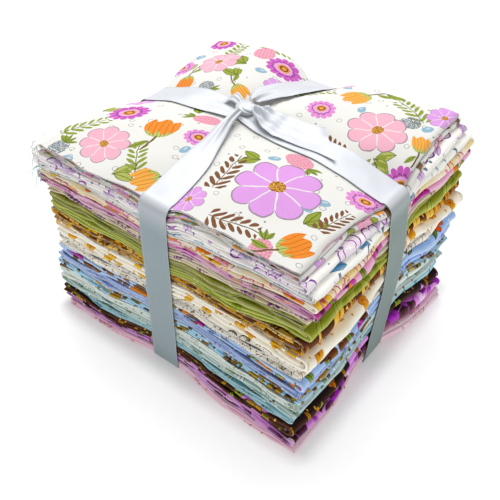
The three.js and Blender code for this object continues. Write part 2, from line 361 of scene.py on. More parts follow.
def newPiece(name, points, faces, uv):
    mesh = bpy.data.meshes.new(name)
    mesh.from_pydata(points, [], faces)
    mesh.polygons.foreach_set("use_smooth", [True] * len(faces))
    corners = np.empty(len(mesh.loops), np.int32)
    mesh.loops.foreach_get("vertex_index", corners)
    mesh.uv_layers.new(name="cloth").data.foreach_set("uv", np.asarray(uv)[corners].ravel())
    mesh.update()
    piece = bpy.data.objects.new(name, mesh)
    bpy.context.scene.collection.objects.link(piece)
    return piece


def gridPiece(name, points, uv):
    rows, columns = points.shape[:2]
    corner = np.arange(rows * columns).reshape(rows, columns)
    faces = np.stack([corner[:-1, :-1], corner[1:, :-1], corner[1:, 1:], corner[:-1, 1:]], -1).reshape(-1, 4)
    return newPiece(name, (points.reshape(-1, 3) * mm).tolist(), faces.tolist(), uv.reshape(-1, 2))


# Faces of a tube of rings, closed by a cap at each end
def tubeFaces(first, rings, sides):
    faces = []
    for n in range(rings - 1):
        for j in range(sides):
            a, b = first + n * sides + j, first + n * sides + (j + 1) % sides
            faces.append((a, b, b + sides, a + sides))
    last = first + rings * sides
    faces.append(tuple(range(first + sides - 1, first - 1, -1)))
    faces.append(tuple(range(last - sides, last)))
    return faces


def gone(path):
    return np.cumsum(np.r_[0, np.abs(np.diff(path))])


def foldedCut(name, index, base):
    _, fold, thick, stands, twist, closed = cuts[index]
    steps = cutCloth["steps" if index else "fineSteps"]
    length, thickness = lengthPath(fold, thick, *steps[:2])
    across = widthPath(closed, thickness, *steps[2:])
    west, east, offset, level, sideX, sideZ, endLip = (column[:, None] for column in length.T)
    share, inset, seat, edgeLip = (column[None, :] for column in across.T)
    # distance along the cloth, both ways
    goneX = gone(length[:, 0] * -halfLength + length[:, 1] * halfLength + length[:, 2])
    goneY = gone((across[:, 0] - 0.5) * 2 * halfWidth + across[:, 1])
    u = goneX[:, None] * cutCloth["length"] / goneX[-1]
    v = goneY[None, :] * cutCloth["width"] / goneY[-1]
    slack = Wobble(cutCloth["seeds"][0] + index, [(95, 0.5), (51, 0.45), (23, 0.25), (11, 0.1)])
    ragged = Wobble(cutCloth["seeds"][1] + index, [(83, 0.5), (37, 0.4), (19, 0.25), (9, 0.12)])
    tangent = math.tan(math.radians(twist))
    # edges along X and along Y, drawn in by the ribbons
    roughX = west * -halfLength + east * halfLength + offset
    roughY = (share - 0.5) * 2 * halfWidth + inset
    high = base + level + 0 * share
    slackY = slack.along(roughY + 0.07 * v)
    raggedX = ragged.along(u + 0 * v)
    ends = []
    for sign, side, stand in ((-1, "west", stands[0]), (1, "east", stands[1])):
        out = stand - sign * roughY * tangent + slackY * sign
        ends.append(edgeAt(sign, side, roughY, high, out, halfLength))
    seatNow = seat - cutCloth["edge"] * (edgeLip + endLip - edgeLip * endLip)
    x = west * ends[0] + east * ends[1] + offset + sideX * seatNow
    sides = []
    for sign, side, stand in ((-1, "south", stands[2]), (1, "north", stands[3])):
        out = stand + sign * roughX * tangent + raggedX
        sides.append(edgeAt(sign, side, roughX, high, out, halfWidth))
    y = sides[0] + share * (sides[1] - sides[0]) + inset
    height = placeLevel(x, y, high + sideZ * seatNow)
    z = np.maximum(heightAt(x, y, height), stack["lowest"] - stack["shift"][2])
    points = np.stack([x, y, z], -1) + np.array(stack["shift"])
    return gridPiece(name, points, np.stack([u + 0 * v, v + 0 * u], -1))


# The ribbons, in millimetres
ribbon = {
    "width": 16.5,
    "off": 0.45,  # clear of the cloth
    "floorOff": 0.4,
    "turn": 1.2,  # radius where it goes under the stack
    "wave": (0.12, 5.5),  # size and length of its waves down a side
    "dropReach": 14,  # half length of the place under the stack where one ribbon passes the other
    "columns": 20,
    "topSteps": 60,
    "bendSteps": 8,
    "sideSteps": 34,
    "turnSteps": 6,
    "footSteps": 44,
}
span = np.linspace(-0.5, 0.5, ribbon["columns"] + 1)  # places across a ribbon

# From the knot outwards over the top: place along the ribbon, its middle, width, height over the
# cloth, height of its lengthwise fold and of its small pleats
nearHalf = {
    "at": (2.2, -4, -13, -24, -38, -52, -66),
    "middle": (-14.2, -13.6, -11.6, -8.8, -5.6, -4.3, -4.2),
    "width": (4.6, 5.6, 7.6, 10.6, 14.2, 16.2, 16.5),
    "lift": (3.4, 2.7, 1.7, 0.9, 0.4, 0.1, 0),
    "ridge": (2.4, 2.5, 2.3, 1.7, 0.9, 0.3, 0.05),
    "pleat": (0.5, 0.4, 0.25, 0.12, 0.06, 0.03, 0),
}
farHalf = {
    "at": (14.2, 18, 24, 32, 42, 54, 66),
    "middle": (-14, -14.8, -14.6, -12, -9, -7.4, -7),
    "width": (5.5, 9.5, 13, 15, 16.2, 16.5, 16.5),
    "lift": (3.3, 2.8, 2.0, 1.1, 0.5, 0.2, 0),
    "ridge": (2.2, 2.3, 2.1, 1.5, 0.9, 0.4, 0.05),
    "pleat": (0.6, 0.5, 0.3, 0.15, 0.08, 0.03, 0),
}
westHalf = {
    "at": (-14.2, -22, -34, -48, -60, -73),
    "middle": (6.5, 5.6, 4.6, 4, 3.6, 3.5),
    "width": (10, 13.5, 16, 16.5, 16.5, 16.5),
    "lift": (0.9, 0.7, 0.3, 0.1, 0, 0),
    "ridge": (0.5, 0.35, 0.2, 0.15, 0.1, 0),
    "pleat": (0.4, 0.25, 0.1, 0.05, 0.03, 0),
}
eastHalf = {
    "at": (-13.8, -4, 10, 30, 52, 73),
    "middle": (6.2, 4.6, 3.8, 3.5, 3.5, 3.5),
    "width": (10, 14, 16.2, 16.5, 16.5, 16.5),
    "lift": (0.9, 0.5, 0.2, 0.1, 0.1, 0),
    "ridge": (0.5, 0.3, 0.15, 0.1, 0.05, 0),
    "pleat": (0.4, 0.2, 0.1, 0.05, 0.03, 0),
}


def skin(x, y):
    return heightAt(x, y, placeLevel(x, y, np.full(x.shape, float(stackHeight))))


# Height of a ribbon over the cloth: a soft lengthwise fold and small pleats across it
def riseOf(read, crest, phase):
    slope = np.where(span < crest, crest + 0.5, 0.5 - crest)
    near = 1 - np.sqrt((span - crest) ** 2 / slope**2 + 0.006)
    folded = read["ridge"] * near + read["pleat"] * np.sin(2 * math.pi * (2.6 * span + phase))
    return ribbon["off"] + read["lift"] + folded


def readAlong(table, last, steps):
    order = 1 if table["at"][1] > table["at"][0] else -1
    spots = np.linspace(table["at"][0], last, steps)
    knots = np.array(table["at"]) * order
    return spots[:, None], {k: curve(knots, table[k], spots * order)[:, None] for k in table if k != "at"}


# From the knot to the edge of the top. axis is 1 for the ribbon along X and 0 for the one along Y
def half(table, sign, axis, crest):
    last = sign * ((halfWidth, halfLength)[axis] - stack["bite"] - stack["round"])
    spots, read = readAlong(table, last, ribbon["topSteps"])
    cross = read["middle"] + read["width"] * span
    along = spots + 0 * span
    x, y = (along, cross) if axis else (cross, along)
    return np.stack([x, y, skin(x, y) + riseOf(read, crest, 0.1)], -1)


# Over the edge, down the side and under it
def sideRun(side, sign, axis, corner, under):
    reach = (halfWidth, halfLength)[axis] - stack["bite"]
    radius = stack["round"]
    angle = np.linspace(0, math.pi / 2, ribbon["bendSteps"] + 1)[1:, None]
    top = corner[:, 2] - ribbon["off"]
    out = reach - radius + (radius + ribbon["off"]) * np.sin(angle) + 0 * span
    high = top - radius + (radius + ribbon["off"]) * np.cos(angle)
    share = np.linspace(0, 1, ribbon["sideSteps"])[1:, None]
    foot = under[:, 2] + ribbon["turn"]
    low = (top - radius) + (foot - top + radius) * share
    angle = np.linspace(0, math.pi / 2, ribbon["turnSteps"] + 1)[1:, None]
    turned = reach + ribbon["off"] - ribbon["turn"] + ribbon["turn"] * np.cos(angle) + 0 * span
    out = np.concatenate([out, reach + ribbon["off"] + 0 * low, turned])
    high = np.concatenate([high, low, foot - ribbon["turn"] * np.sin(angle)])
    cross = np.interp(high / stackHeight, *ribbonOnSide[side]) + ribbon["width"] * span
    size, length = ribbon["wave"]
    bow = size * np.sin(high / length) * np.sin(math.pi * np.clip(high / stackHeight, 0, 1))
    along = sign * (out + bow)
    x, y = (along, cross) if axis else (cross, along)
    return np.stack([x, y, high], -1)


def underRun(axis, ends, drop):
    reach = (halfWidth, halfLength)[axis] - stack["bite"] + ribbon["off"] - ribbon["turn"]
    share = np.linspace(0, 1, ribbon["footSteps"])[:, None]
    along = reach * (1 - 2 * share) + 0 * span
    cross = ends[0] + (ends[1] - ends[0]) * share + ribbon["width"] * span
    x, y = (along, cross) if axis else (cross, along)
    foot = heightAt(x, y, np.zeros(x.shape)) - ribbon["off"]
    foot = foot - drop * np.exp(-((along / ribbon["dropReach"]) ** 2))
    return np.stack([x, y, np.maximum(foot, ribbon["floorOff"])], -1)


def ribbonLoop(name, plus, minus, plusSide, minusSide, axis, crests, drop):
    ends = (ribbonOnSide[plusSide][1][0], ribbonOnSide[minusSide][1][0])
    under = underRun(axis, ends, drop)
    first = half(plus, 1, axis, crests[0])
    last = half(minus, -1, axis, crests[1])
    down = sideRun(plusSide, 1, axis, first[-1], under[0])
    up = sideRun(minusSide, -1, axis, last[-1], under[-1])
    points = np.concatenate([first, down, under[1:-1], up[::-1], last[::-1]])
    return ribbonPiece(name, points)


def ribbonPiece(name, points):
    middle = points[:, ribbon["columns"] // 2]
    run = np.r_[0, np.cumsum(np.linalg.norm(np.diff(middle, axis=0), axis=1))]
    t = np.linspace(0, 1, ribbon["columns"] + 1) * ribbon["width"]
    uv = np.stack([run[:, None] + 0 * t, t + 0 * run[:, None]], -1)
    return gridPiece(name, points + np.array(stack["shift"]), uv), run[-1]


# The two free ends, in the columns above, with the slant of each place across the ribbon
longTail = {
    "at": (-8.2, -4, 1, 7, 14, 22, 30, 35),
    "middle": (7.2, 6.2, 5.6, 5.8, 6.6, 7.4, 7.9, 8),
    "width": (4.6, 9.5, 14, 16, 16.5, 16.5, 16.5, 16.5),
    "lift": (4.0, 4.2, 3.2, 1.9, 1.2, 0.8, 0.9, 1.6),
    "ridge": (1.0, 1.6, 1.2, 0.6, 0.3, 0.1, 0, 0),
    "pleat": (1.1, 1.2, 0.8, 0.4, 0.15, 0.05, 0, 0),
    "skew": (0, 0, -1, -2, -5, -9, -14, -17),
}
shortEnd = {
    "at": (-17.5, -20.5, -23.5, -25.8, -27.4),
    "middle": (9.4, 10.2, 11, 11.5, 11.8),
    "width": (5.5, 6.5, 7.5, 8, 8),
    "lift": (3.6, 3.9, 3.6, 2.6, 1.4),
    "ridge": (0.8, 0.9, 0.8, 0.5, 0.3),
    "pleat": (0.5, 0.5, 0.4, 0.3, 0.2),
    "skew": (0, 0, 0, 1, 2),
}


def looseEnd(name, table, crest, steps, crumple):
    spots, read = readAlong(table, table["at"][-1], steps)
    x = spots + read["skew"] * span
    y = read["middle"] + read["width"] * span
    crush = crumple * read["pleat"] * Wobble(31, [(7, 0.4), (4.6, 0.3)]).over(x, y, 0, 0)
    rise = riseOf(read, crest, 0.3) + crush
    return ribbonPiece(name, np.stack([x, y, skin(x, y) + rise], -1))


# The knot: a gathered band wrapped once round the crossing, with soft pleats
knot = {
    "x": -14,
    "y": 8.2,
    "length": 6.6,
    "width": 5.6,
    "height": 2.9,
    "lift": 3.2,
    "pleats": 5,
    "twist": 0.9,
    "groove": 0.16,
    "bulge": 0.05,
    "pinch": 0.14,
    "rows": 48,
    "columns": 64,
}


def knotPiece(name):
    rows, columns = knot["rows"], knot["columns"]
    up = np.linspace(-math.pi / 2, math.pi / 2, rows)[1:-1, None]
    turn = np.linspace(0, 2 * math.pi, columns, endpoint=False)[None, :]
    pleat = np.abs(np.sin(knot["pleats"] * (turn * 0.5 + knot["twist"] * np.sin(up)) + 0.4))
    swell = 1 - knot["groove"] * (1 - pleat) ** 3 * np.cos(up)
    swell = swell + knot["bulge"] * np.sin(3 * turn + 1) * np.cos(up)
    pinch = 1 - knot["pinch"] * np.exp(-((np.sin(turn - 0.7) / 0.35) ** 2)) * np.cos(up)
    x = knot["x"] + knot["length"] * np.cos(up) * np.cos(turn) * swell * pinch
    y = knot["y"] + knot["width"] * np.cos(up) * np.sin(turn) * swell * pinch
    seat = float(skin(np.array([knot["x"]], float), np.array([knot["y"]], float))[0])
    z = seat + knot["lift"] + knot["height"] * np.sin(up) * swell + 0 * turn
    points = np.stack([x, y, z], -1).reshape(-1, 3) + np.array(stack["shift"])
    uv = np.stack([turn * 6 + 0 * up, up * 6 + 0 * turn], -1).reshape(-1, 2)
    return newPiece(name, (points * mm).tolist(), tubeFaces(0, rows - 2, columns), uv)


# Materials. A colour is written as its code on screen
def tone(code):
    parts = [int(code[k:k + 2], 16) / 255 for k in (1, 3, 5)]
    return (*[c / 12.92 if c <= 0.04045 else ((c + 0.055) / 1.055) ** 2.4 for c in parts], 1)


# A node's output socket, with sums that add Math nodes. A colour input takes a code
class Wire:
    def __init__(self, socket):
        self.socket = socket
        self.tree = socket.id_data

    def node(self, kind, settings, inputs, output=0):
        made = self.tree.nodes.new("ShaderNode" + kind)
        for key, value in settings.items():
            if key == "stops":
                ramp = made.color_ramp
                ramp.interpolation = "CONSTANT"
                while len(ramp.elements) < len(value):
                    ramp.elements.new(0.5)
                for element, (spot, colour) in zip(ramp.elements, value):
                    element.position = spot
                    element.color = colour
            else:
                setattr(made, key, value)
        for key, value in inputs.items():
            if isinstance(value, Wire):
                self.tree.links.new(value.socket, made.inputs[key])
            else:
                made.inputs[key].default_value = tone(value) if isinstance(value, str) else value
        return Wire(made.outputs[output])

    def paint(self, code):
        flat = self.node("RGB", {}, {})
        flat.socket.default_value = tone(code)
        return flat

    def sibling(self, output):
        return Wire(self.socket.node.outputs[output])

    def math(self, operation, *values):
        return self.node("Math", {"operation": operation}, dict(enumerate((self, *values))))

    def vector(self, operation, *values, output=0):
        return self.node("VectorMath", {"operation": operation}, dict(enumerate((self, *values))), output)

    def __add__(self, other):
        return self.math("ADD", other)

    __radd__ = __add__

    def __mul__(self, other):
        return self.math("MULTIPLY", other)

    __rmul__ = __mul__

    def __sub__(self, other):
        return self.math("SUBTRACT", other)

    def __rsub__(self, other):
        return self.node("Math", {"operation": "SUBTRACT"}, {0: other, 1: self})

    def __truediv__(self, other):
        return self.math("DIVIDE", other)

    def __pow__(self, other):
        return self.math("POWER", other)

    def __lt__(self, other):
        return self.math("LESS_THAN", other)

    def __gt__(self, other):
        return self.math("GREATER_THAN", other)

    def __abs__(self):
        return self.math("ABSOLUTE")

    def parts(self):
        split = self.node("SeparateXYZ", {}, {0: self})
        return split, split.sibling(1)

    def turned(self, angle):
        return self.node("VectorRotate", {"rotation_type": "Z_AXIS"}, {"Vector": self, "Angle": angle})

    def mixed(self, other, mask):
        inputs = {0: mask, 6: self, 7: other}
        return self.node("Mix", {"data_type": "RGBA"}, inputs, 2)

    def swapped(self, other, mask):
        inputs = {0: mask, 4: self, 5: other}
        return self.node("Mix", {"data_type": "VECTOR"}, inputs, 1)

    def soft(self, low, high):
        inputs = {"Value": self, "From Min": low, "From Max": high}
        return self.node("MapRange", {"interpolation_type": "SMOOTHSTEP"}, inputs)

    def noise(self, size, detail=2):
        return self.node("TexNoise", {}, {"Vector": self, "Scale": 1 / size, "Detail": detail})

    def chosen(self, palette):
        stops = [(k / len(palette), tone(code)) for k, code in enumerate(palette)]
        return self.node("ValToRGB", {"stops": stops}, {0: self})


def startMaterial(name, sheen, sheenRoughness=0.5):
    material = bpy.data.materials.new(name)
    material.use_nodes = True
    shader = material.node_tree.nodes["Principled BSDF"]
    shader.inputs["Sheen Weight"].default_value = sheen
    shader.inputs["Sheen Roughness"].default_value = sheenRoughness
    shader.inputs["Specular IOR Level"].default_value = 0.2
    return material, shader, Wire(shader.outputs[0]).node("UVMap", {"uv_map": "cloth"}, {})


def plug(shader, name, wire):
    wire.tree.links.new(wire.socket, shader.inputs[name])


# Nearest spot of a jittered grid: the way to it and a number of its own
def scatter(place, cell, seed, jitter=0.8):
    moved = place.vector("ADD", (seed * 17.3 + 5, seed * 9.1 + 3, 0))
    grid = {"voronoi_dimensions": "2D", "feature": "F1"}
    found = moved.node("TexVoronoi", grid, {"Vector": moved, "Scale": 1 / cell, "Randomness": jitter})
    dice = found.sibling("Color").parts()[0]
    return moved.vector("SUBTRACT", found.sibling("Position")), dice


def petalsAt(offset, start, petals, radius, gap, depth=0.4):
    x, y = offset.parts()
    reach = offset.vector("LENGTH", output=1)
    turn = y.math("ARCTAN2", x) + start
    wave = abs((turn * (petals / 2)).math("COSINE"))
    edge = (wave**0.45) * (radius * depth) + radius * (1 - depth)
    inside = (reach < edge) * ((wave * reach) > gap)
    return inside, reach, edge


def leafAt(offset, angle, length, width):
    along, across = offset.turned(angle).parts()
    swell = (1 - (along / length) ** 2) * width
    side = abs(across)
    inside = side < swell
    return inside, side, along


def sprigAt(offset, angle, length, leafLength, leafWidth, pitch):
    along, across = offset.turned(angle).parts()
    side = abs(across)
    within = abs(along) < length
    share = (((along - side * 0.8) / pitch).math("FRACT") - 0.5) * (pitch / leafWidth)
    far = (side / leafLength - 0.56) / (0.44 - along * (0.16 / length))
    leaves = (share * share + far * far) < 1
    stem = side < 0.05 * leafLength
    return within * leaves.math("MAXIMUM", stem), side


def bloomLayer(colour, place, seed, cell, radius, petals, palette, core):
    offset, dice = scatter(place, cell, seed)
    inside, reach, edge = petalsAt(offset, dice * 6.3, petals, radius, 0.3)
    colour = colour.mixed(core, (reach < edge + 0.3) * 0.8)
    colour = colour.mixed(dice.chosen(palette), inside)
    return colour.mixed(core, reach < radius * 0.22)


def lineLayer(colour, place, seed, cell, radius, petals, palette, core):
    offset, dice = scatter(place, cell, seed)
    inside, reach, edge = petalsAt(offset, dice * 6.3, petals, radius, 0.4)
    second = abs(reach - edge * 0.55) < 0.3
    rim = (abs(reach - edge) < 0.42).math("MAXIMUM", second)
    colour = colour.mixed(dice.chosen(palette), inside * 0.25)
    return colour.mixed(core, rim)


def leafLayer(colour, place, seed, cell, length, width, palette, core):
    offset, dice = scatter(place, cell, seed)
    inside, side, _ = leafAt(offset, dice * 6.3, length, width)
    outline, _, _ = leafAt(offset, dice * 6.3, length + 0.35, width + 0.35)
    colour = colour.mixed(core, outline * 0.8)
    colour = colour.mixed(dice.chosen(palette), inside)
    return colour.mixed(core, inside * (side < 0.22) * 0.8)


def sprigLayer(colour, place, seed, cell, length, width, palette, core):
    offset, dice = scatter(place, cell, seed, 0.5)
    inside, _ = sprigAt(offset, dice * 6.3, length, width, width * 0.42, width * 0.95)
    return colour.mixed(dice.chosen(palette), inside)


def dotLayer(colour, place, seed, cell, radius, width, palette, core):
    offset, dice = scatter(place, cell, seed, 1)
    reach = offset.vector("LENGTH", output=1)
    spot = (reach < radius) if not width else (abs(reach - radius) < width)
    return colour.mixed(dice.chosen(palette), spot)


def mottleLayer(colour, place, seed, cell, strength, detail, palette, core):
    cloud = place.vector("ADD", (seed * 31, 7, 0)).noise(cell, detail)
    return colour.mixed(palette[0], cloud.soft(0.42, 0.66) * strength)


def vineLayer(colour, place, seed, cell, width, detail, palette, core):
    cloud = place.vector("ADD", (seed * 13, 3, 0)).noise(cell, detail)
    return colour.mixed(palette[0], abs(cloud - 0.5) < width)


# Distance from the nearest fold line, and from the nearer edge, of cloth of that size
def toFoldLine(place, size):
    return abs((place / size + 0.5).math("FRACT") - 0.5) * size


def toEdge(place, size):
    return size / 2 - abs(place - size / 2)


# Weave, pressed folds, raw edges and small unevenness, the same on every cotton, with fold lines paler from
# wear and a painted highlight, and painted shade on cloth buried away from them
cotton = {
    "thread": 0.42,  # pitch of the weave
    "relief": 0.00007,  # in metres
    "slubs": 0.2,
    "clouds": 0.12,
    "weave": 0.05,
    "fold": 2.2,  # half width of the paler cloth on a fold, worn and with a painted highlight
    # how much paler a fold line is: wear, and painted highlight
    "wearAndHighlight": 0.12,
    "deep": (0.15, 1.5),  # from a fold to where the painted shade of cloth buried between layers is full
    "rich": (0.15, 0.14),  # saturation and brightness that the prints gain, in step with their painted shade
    "raw": (0.1, 0.7),  # the paler threads of a raw edge
    "pale": 0.25,
}


def finishCotton(shader, place, colour, shadeAndRichness):
    x, y = place.parts()
    rate = 2 * math.pi / cotton["thread"]
    weave = (x * rate).math("SINE") * (y * rate).math("SINE")
    slub = place.vector("MULTIPLY", (0.25, 2.4, 1)).noise(1.1, 3)
    cloud = place.noise(26, 3)
    colour = colour.mixed("#ffffff", (slub - 0.5).math("MAXIMUM", 0.0) * cotton["slubs"])
    colour = colour.mixed("#6f6a60", (0.5 - cloud).math("MAXIMUM", 0.0) * cotton["clouds"])
    colour = colour.mixed("#5b5750", weave.math("MAXIMUM", 0.0) * cotton["weave"])
    toFold = toFoldLine(x, stack["length"]).math("MINIMUM", toFoldLine(y, stack["width"]))
    # fold lines paler: partly wear, partly painted highlight
    crease = 1 - toFold.soft(0, cotton["fold"])
    saturation, brightness = (1 + gain * shadeAndRichness for gain in cotton["rich"])
    richer = {"Saturation": saturation, "Value": brightness, "Color": colour}
    # gamma: paler on a fold line (wear and painted highlight), darker away from it (painted shade where the
    # cloth lies buried between layers)
    power = 1 - crease * cotton["wearAndHighlight"] + toFold.soft(*cotton["deep"]) * shadeAndRichness
    colour = colour.node("Gamma", {}, {0: colour.node("HueSaturation", {}, richer), 1: power})
    edge = toEdge(x, cutCloth["length"]).math("MINIMUM", toEdge(y, cutCloth["width"]))
    colour = colour.mixed("#f4f1ea", (1 - edge.soft(*cotton["raw"])) * cotton["pale"])
    plug(shader, "Base Color", colour)
    plug(shader, "Roughness", 0.8 + slub * 0.2)
    relief = weave * 0.5 + slub * 1.4 + place.noise(5, 2) * 2.0
    bump = place.node("Bump", {}, {"Strength": 0.5, "Distance": cotton["relief"], "Height": relief})
    plug(shader, "Normal", bump)


# Ground colour and printed layers of each lower cut, and of the top cut's other panels: kind, cell,
# size, a second size or a count, palette, line colour
prints = {
    "cream_botanical": ("#e9e8e3", [
        ("bloom", 17, 5.5, 7, ["#d79be0", "#f1a9c4", "#ee9a3e"], "#7a5a50"),
        ("leaf", 13, 4.5, 1.6, ["#93a234", "#7d4f31", "#8fb2c6"], "#59611f"),
        ("dot", 12.5, 1.25, 0.17, ["#8f8a84"], ""),
    ]),
    "white_lilac_flower": ("#fcfaf6", [
        ("line", 21, 8.5, 6, ["#d6a6e0", "#c9aedd"], "#a86fba"),
        ("leaf", 19, 4.5, 1.5, ["#e3cfe9", "#d3bfdc"], "#b292c0"),
        ("dot", 9, 0.8, 0, ["#9aa6b5", "#c9a7d4"], ""),
    ]),
    "white_blue_leaf": ("#fbfbf7", [
        ("leaf", 22, 8, 3.1, ["#93bcd6", "#b9d5e3", "#e6ebe8"], "#6f93a8"),
        ("vine", 30, 0.008, 1, ["#8f9aa3"], ""),
        ("dot", 8, 0.7, 0, ["#b9c6cd", "#d6c9dc"], ""),
    ]),
    "white_yellow_pink": ("#fdf6e6", [
        ("mottle", 16, 0.6, 2, ["#f5df98"], ""),
        ("bloom", 16, 5, 5, ["#f3932c", "#f3a6c6", "#f3d26a"], "#b9772c"),
        ("line", 21, 7, 6, ["#e2a3c6", "#e3bd70"], "#d58fb0"),
    ]),
    "pink_magenta_flower": ("#f3c6e0", [
        ("bloom", 20, 6.6, 7, ["#b9459f", "#d56cba", "#f0a8d4"], "#7a2a74"),
        ("leaf", 14, 4, 1.5, ["#96a544", "#bb60ab"], "#5f4a50"),
        ("dot", 23, 2.4, 0, ["#f18c1c", "#f2b35e"], ""),
    ]),
    "beige_fern": ("#dccfb8", [
        ("sprig", 21, 8, 2.6, ["#86588f", "#a37fa0", "#7d7148"], ""),
        ("dot", 7, 0.6, 0, ["#f4ece0", "#6f4f74"], ""),
    ]),
    "olive_green": ("#a0a04a", [
        ("mottle", 8, 0.55, 3, ["#75812b"], ""),
        ("leaf", 12, 4.5, 1.4, ["#868f38", "#b4bb62"], "#5c6726"),
    ]),
    "light_green_leaf": ("#b9bf66", [
        ("leaf", 14, 6, 2.1, ["#c3cd72", "#a0ad48", "#d2dc92"], "#7f8c3a"),
        ("mottle", 18, 0.3, 2, ["#99a743"], ""),
    ]),
    "brown_gold_leaf": ("#6b3c12", [
        ("leaf", 8.6, 6.2, 2.9, ["#efb942", "#dfa136", "#f7d277"], "#7a4c18"),
        ("sprig", 15, 6, 2.0, ["#e2ae40", "#8f5717"], ""),
        ("dot", 6, 0.7, 0, ["#efcf80", "#5f3510"], ""),
    ]),
    "white_yellow_flower": ("#fffbef", [
        ("bloom", 12.5, 2.8, 5, ["#edb636", "#f4cb64", "#efbb4c"], "#c08a2c"),
        ("dot", 6, 0.6, 0, ["#e9c987", "#dcd2ba"], ""),
    ]),
    "cream_fine_line": ("#fefaf0", [
        ("vine", 9, 0.012, 2, ["#8f8064"], ""),
        ("line", 40, 11, 8, ["#45403a", "#7c7468"], "#4c4843"),
        ("dot", 5, 0.5, 0, ["#dccfb2", "#a2957c"], ""),
    ]),
    "blue_orange_flower": ("#c0d8f8", [
        ("bloom", 21, 6.6, 6, ["#ef8a30", "#c54fae", "#8a5b34"], "#5a331c"),
        ("leaf", 14, 4.5, 1.5, ["#7b5a36", "#93a95a", "#8fa9d4"], "#4c3a28"),
        ("dot", 7, 0.7, 0, ["#eef3fb", "#6b7fae"], ""),
    ]),
    "periwinkle": ("#c2d5fa", [
        ("mottle", 14, 0.4, 2, ["#a7bbe8"], ""),
        ("line", 16, 6, 5, ["#e0e9fa", "#95a9da"], "#8fa3d3"),
        ("dot", 8, 0.7, 0, ["#edf2fc", "#7d8fc2"], ""),
    ]),
    "blue_brown_flower": ("#b5dcf3", [
        ("bloom", 11, 3.6, 6, ["#7c5226", "#d3a43a", "#90682c"], "#3a2412"),
        ("leaf", 8, 2.5, 0.9, ["#7c8b3c", "#5b432a", "#e0c675"], "#3a3018"),
        ("dot", 5, 0.6, 0, ["#eef8fa", "#4f3b28"], ""),
    ]),
    "pale_sage": ("#edf5f0", [
        ("sprig", 18, 7, 2.4, ["#a3b89e", "#bccab2", "#93b0a9"], ""),
        ("dot", 6, 0.6, 0, ["#f7f8f3", "#8aa088"], ""),
    ]),
    "grey_sage": ("#c6dad6", [
        ("leaf", 13, 4.8, 1.7, ["#e6efe9", "#9fbdb7", "#8f9f6c"], "#5f7a76"),
        ("dot", 6, 0.7, 0, ["#eef5f0", "#6f5a3f"], ""),
    ]),
    "teal_blue": ("#abd8e3", [
        ("leaf", 14, 5.6, 2.1, ["#d3e8e8", "#6fa3b3", "#8bbbc4"], "#44707e"),
        ("mottle", 10, 0.3, 2, ["#86b7c2"], ""),
        ("dot", 9, 0.8, 0, ["#e9f5f3", "#3f6a76"], ""),
    ]),
    "dark_brown_gold": ("#4a2817", [
        ("bloom", 44, 11, 7, ["#e5a5e6", "#edb9ee"], "#84456f"),
        ("bloom", 15, 2.6, 5, ["#dfa83e", "#98a83a", "#cf9432"], "#5c3d16"),
        ("leaf", 13, 2.4, 0.8, ["#a6b544", "#cf9f3c"], "#5a4a20"),
        ("dot", 6.5, 0.5, 0, ["#e8bd62", "#7b4c2c"], ""),
    ]),
    "lilac_purple_leaf": ("#ecb4ee", [
        ("bloom", 21, 9, 4, ["#4a2817", "#57301d"], "#b56cc0"),
        ("leaf", 16, 7.6, 2.6, ["#d57fdc", "#b652c4", "#e6a2ea"], "#7a3a8a"),
        ("dot", 17, 2.2, 0, ["#f8dcf6", "#6a2f4c"], ""),
        ("mottle", 12, 0.3, 2, ["#d888e0"], ""),
    ]),
    "pale_pink": ("#f8d6e4", [
        ("mottle", 22, 0.35, 2, ["#f2bfd6"], ""),
        ("line", 26, 7, 6, ["#dd9fbb", "#c99a72"], "#c98fa6"),
        ("dot", 9, 0.7, 0, ["#fdf1f6", "#b98a72"], ""),
    ]),
}
layerKinds = {
    "bloom": bloomLayer, "line": lineLayer, "leaf": leafLayer, "sprig": sprigLayer,
    "dot": dotLayer, "mottle": mottleLayer, "vine": vineLayer,
}


# The last argument sets the painted shade away from folds and how much richer the print of a lower cut is
def printedCotton(name, seed, shadeAndRichness=0.62):
    material, shader, place = startMaterial("cotton_" + name, 0.03)
    ground, layers = prints[name]
    colour = place.paint(ground)
    for k, (kind, cell, size, number, palette, core) in enumerate(layers):
        core = core or palette[0]
        colour = layerKinds[kind](colour, place, seed * 3 + k, cell, size, number, palette, core)
    finishCotton(shader, place, colour, shadeAndRichness)
    return material


